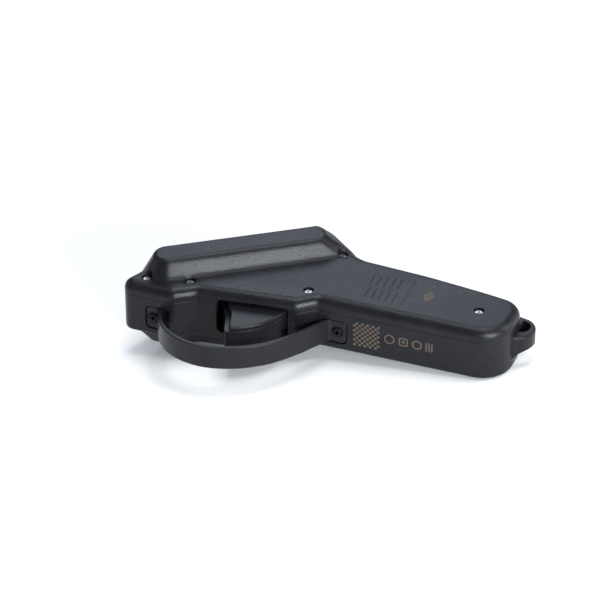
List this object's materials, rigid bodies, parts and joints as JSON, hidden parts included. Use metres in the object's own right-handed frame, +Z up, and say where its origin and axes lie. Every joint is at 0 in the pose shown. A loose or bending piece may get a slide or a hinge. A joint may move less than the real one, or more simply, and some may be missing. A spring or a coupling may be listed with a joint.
{
  "type": "trigger remote control",
  "caption": "Pistol-grip radio remote control with a finger trigger inside a guard loop, a thick display head, thumb keys and a lanyard eye.",
  "frame": {"origin": "middle of the bounding box at floor level, with the remote lying on its lower swelling and butt", "axes": "+X along the grip towards the lanyard eye, +Y away from the trigger side, +Z up through the casing, which leans about 5 degrees as it lies"},
  "size_m": [0.1752, 0.0846, 0.0451],
  "materials": {
    "casing": "fine spark-eroded satin",
    "insert": "fine satin",
    "guard": "satin",
    "lever": "satin",
    "seal": "matt",
    "foam": "open foam",
    "bright_screw": "polished",
    "black_screw": "black oxide",
    "brass": "turned",
    "steel": "ground",
    "bush": "natural acetal",
    "magnet": "nickel",
    "window": "gloss black border",
    "frame_plastic": "matt",
    "lcd": "gloss",
    "pcb": "solder mask",
    "key": "satin silicone",
    "switch": "matt",
    "chip": "matt",
    "shield": "tinned",
    "ceramic": "ceramic",
    "cell_wrap": "foil",
    "plug": "nylon",
    "lead": "silicone",
    "ferrite": "sintered",
    "copper": "enamelled copper wire"
  },
  "bodies": {
    "casing": {"top_shell": "casing", "bottom_shell": "casing", "butt_insert": "insert", "trigger_guard": "guard", "rim_seal": "seal", "window_seal": "seal", "lcd_foam": "foam", "battery_foam": "foam", "button_membrane": "seal", "shell_screws": "bright_screw", "guard_screws": "black_screw", "board_screws": "bright_screw", "screw_inserts": "brass", "guard_nuts": "brass", "trigger_pin": "steel", "trigger_spring": "steel", "display_window": "window", "display_frame": "frame_plastic", "lcd_module": "lcd", "display_board": "pcb", "tact_switches": "switch", "button_board": "pcb", "hall_board": "pcb", "hall_sensor": "chip", "main_board": "pcb", "processor": "chip", "radio_can": "shield", "antenna": "ceramic", "buzzer": "chip", "battery_cell": "cell_wrap", "battery_plug": "plug", "battery_leads": "lead", "coil_ferrite": "ferrite", "charge_coil": "copper", "haptic_motor": "steel"},
    "trigger_lever": {"trigger": "lever", "trigger_bushes": "bush", "trigger_magnet": "magnet"},
    "power_key": {"power_button": "key"},
    "plus_key": {"plus_button": "key"},
    "minus_key": {"minus_button": "key"},
    "vibration_rotor": {"haptic_weight": "steel"}
  },
  "joints": [
    {"name": "trigger_pull", "type": "hinge", "parent": "casing", "child": "trigger_lever", "pos_m": [-0.04198, -0.0044, 0.02198], "axis": [0.0862, -0.0334, 0.9957], "range_deg": [0, 22], "stiffness_Nm_per_rad": 0.06, "springref_deg": -6.88},
    {"name": "power_press", "type": "slide", "parent": "casing", "child": "power_key", "axis": [0.5714, -0.817, -0.0769], "range_m": [0, 0.0006], "stiffness_N_per_m": 1500, "springref_m": -0.0004},
    {"name": "plus_press", "type": "slide", "parent": "casing", "child": "plus_key", "axis": [0.5714, -0.817, -0.0769], "range_m": [0, 0.0006], "stiffness_N_per_m": 1500, "springref_m": -0.0004},
    {"name": "minus_press", "type": "slide", "parent": "casing", "child": "minus_key", "axis": [0.5714, -0.817, -0.0769], "range_m": [0, 0.0006], "stiffness_N_per_m": 1500, "springref_m": -0.0004},
    {"name": "vibration_spin", "type": "hinge", "parent": "casing", "child": "vibration_rotor", "pos_m": [0.058, 0.01841, 0.01008], "axis": [0.9963, 0.0029, -0.0861], "continuous": true}
  ]
}
